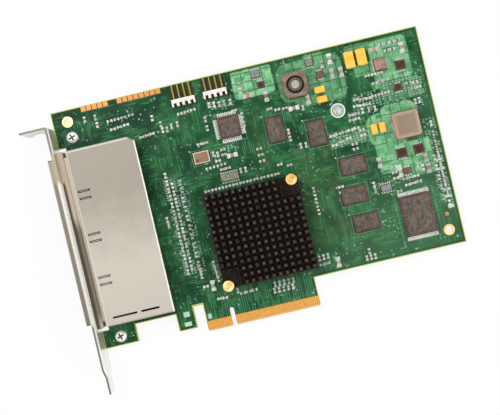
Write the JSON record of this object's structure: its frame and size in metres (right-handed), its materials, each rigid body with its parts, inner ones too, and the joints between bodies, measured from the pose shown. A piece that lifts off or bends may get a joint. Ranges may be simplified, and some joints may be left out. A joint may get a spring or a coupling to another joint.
{
  "type": "host bus adapter",
  "caption": "Computer expansion card with an edge connector, a port cage behind its mounting bracket, and a pin-fin heat sink on its controller chip.",
  "frame": {"origin": "middle of the key notch at the lower edge of the tongue, on the component face", "axes": "+X along the board away from the bracket, +Y from the tongue to the upper edge, +Z out of the component face"},
  "size_m": [0.1801, 0.127, 0.0184],
  "materials": {
    "solder_mask": "satin solder mask",
    "gold_plate": "gold plate",
    "bracket_steel": "bright plate",
    "cage_steel": "satin plate",
    "gasket": "matt",
    "receptacle_plastic": "matt",
    "contact_metal": "plated",
    "chip_mould": "satin mould",
    "thermal_pad": "matt",
    "sink_black": "black anodised",
    "pin_brass": "turned",
    "spring_steel": "drawn wire",
    "tin_plate": "tinned",
    "oscillator_ceramic": "matt ceramic",
    "oscillator_metal": "satin",
    "ferrite": "matt",
    "copper": "enamelled wire",
    "tantalum_mould": "satin mould",
    "header_plastic": "satin",
    "capacitor_ceramic": "matt ceramic",
    "resistor_glaze": "glazed"
  },
  "bodies": {
    "root": {"circuit_board": "solder_mask", "edge_contacts": "gold_plate", "top_edge_pads": "gold_plate", "header_pins": "gold_plate", "bracket": "bracket_steel", "bracket_screws": "bracket_steel", "cage_cover": "cage_steel", "cage_collar": "cage_steel", "cage_floor": "cage_steel", "cage_divider_1": "cage_steel", "cage_divider_2": "cage_steel", "cage_divider_3": "cage_steel", "cage_gasket": "gasket", "receptacle_1": "receptacle_plastic", "receptacle_2": "receptacle_plastic", "receptacle_3": "receptacle_plastic", "receptacle_4": "receptacle_plastic", "receptacle_contacts_1": "contact_metal", "receptacle_contacts_2": "contact_metal", "receptacle_contacts_3": "contact_metal", "receptacle_contacts_4": "contact_metal", "memory_chip_1": "chip_mould", "memory_chip_2": "chip_mould", "memory_chip_3": "chip_mould", "memory_chip_4": "chip_mould", "memory_chip_5": "chip_mould", "quad_chip": "chip_mould", "flash_chip": "chip_mould", "small_chips": "chip_mould", "controller_chip": "chip_mould", "thermal_pad": "thermal_pad", "heat_sink": "sink_black", "push_pins": "pin_brass", "push_pin_springs": "spring_steel", "quad_leads": "tin_plate", "flash_leads": "tin_plate", "tantalum_terminals": "tin_plate", "square_inductor_terminals": "tin_plate", "oscillator_base": "oscillator_ceramic", "oscillator_lid": "oscillator_metal", "round_inductor_shield": "ferrite", "round_inductor_core": "ferrite", "square_inductor": "ferrite", "round_inductor_winding": "copper", "tantalum_bodies": "tantalum_mould", "header_bodies": "header_plastic", "chip_capacitors": "capacitor_ceramic", "power_capacitors": "capacitor_ceramic", "chip_resistors": "resistor_glaze"}
  },
  "joints": []
}
